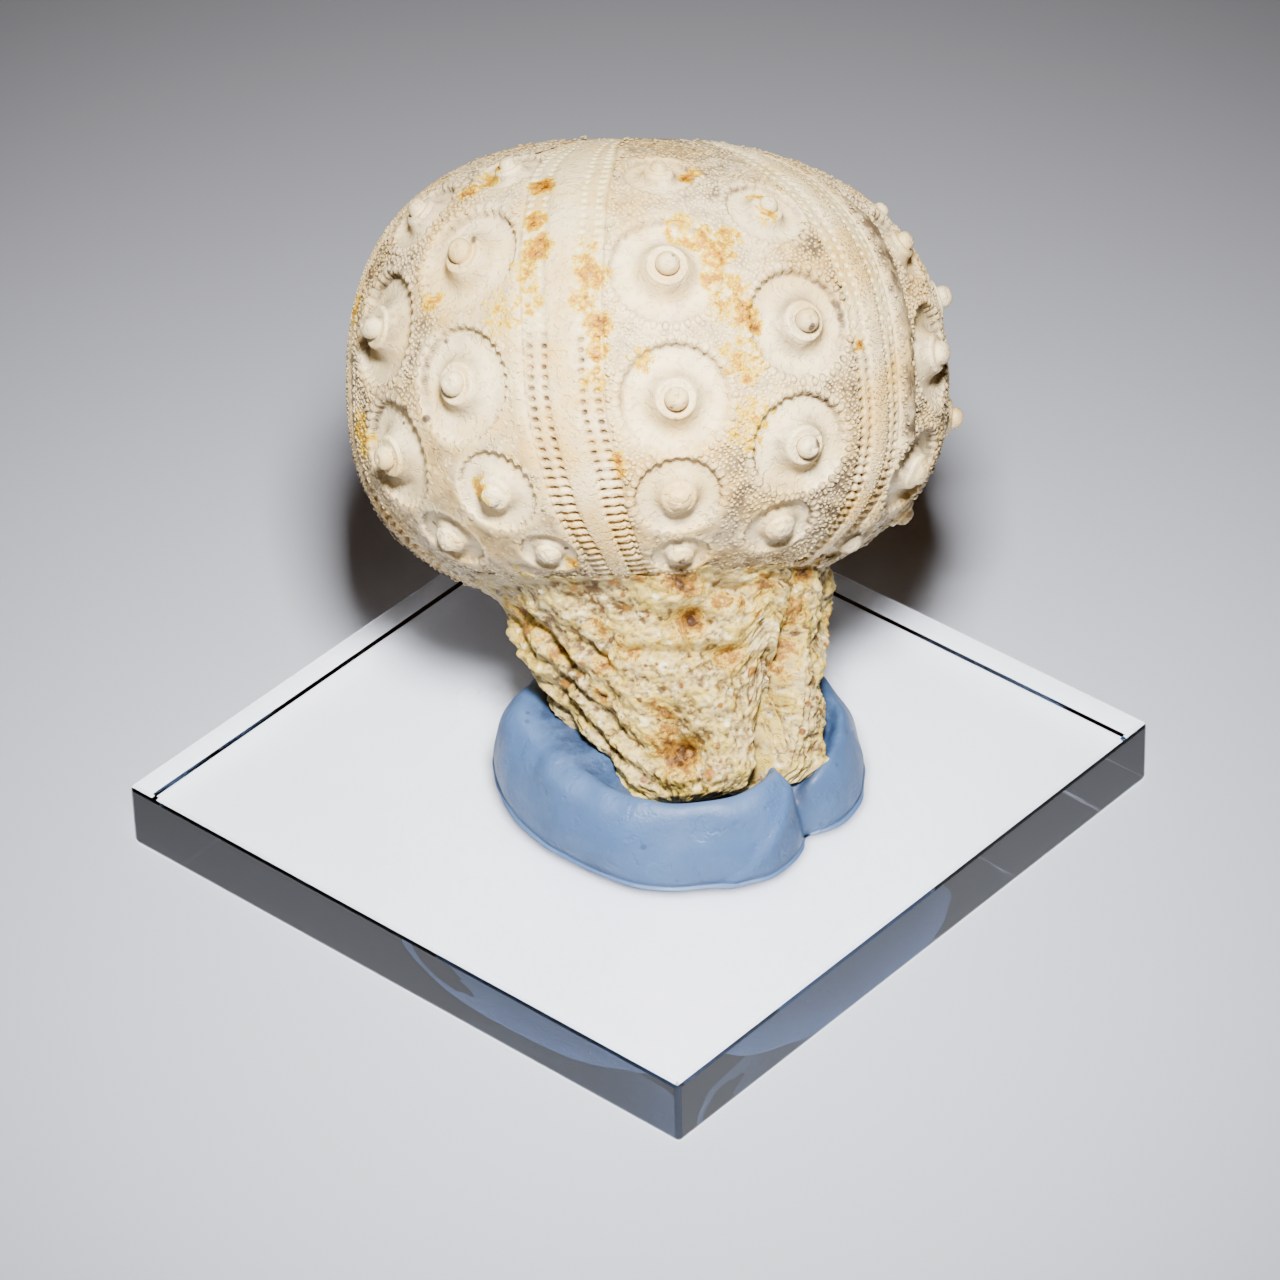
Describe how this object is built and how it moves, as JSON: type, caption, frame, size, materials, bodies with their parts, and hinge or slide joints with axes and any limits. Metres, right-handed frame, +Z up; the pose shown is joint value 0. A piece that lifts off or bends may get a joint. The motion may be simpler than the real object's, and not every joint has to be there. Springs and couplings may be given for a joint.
{
  "type": "fossil sea urchin",
  "caption": "Globe-shaped fossil sea urchin with large tubercles, on a stem of rock held by a collar of putty on a clear square base.",
  "frame": {"origin": "centre of the clear base's underside", "axes": "+Z up, at right angles to the base; -Y is the front, which the urchin's side faces; the base's corners point nearly along X and Y"},
  "size_m": [0.0704, 0.0704, 0.0486],
  "materials": {
    "fossil_shell": "matte ivory fossil shell with yellow and orange stains in its creases",
    "limestone": "rough yellowish limestone with ochre specks and pale grains",
    "putty": "smooth matte blue-grey modelling putty",
    "clear_acrylic": "clear polished acrylic"
  },
  "bodies": {
    "root": {"urchin_shell": "fossil_shell", "rock_stem": "limestone", "putty_collar": "putty", "clear_base": "clear_acrylic"}
  },
  "joints": []
}
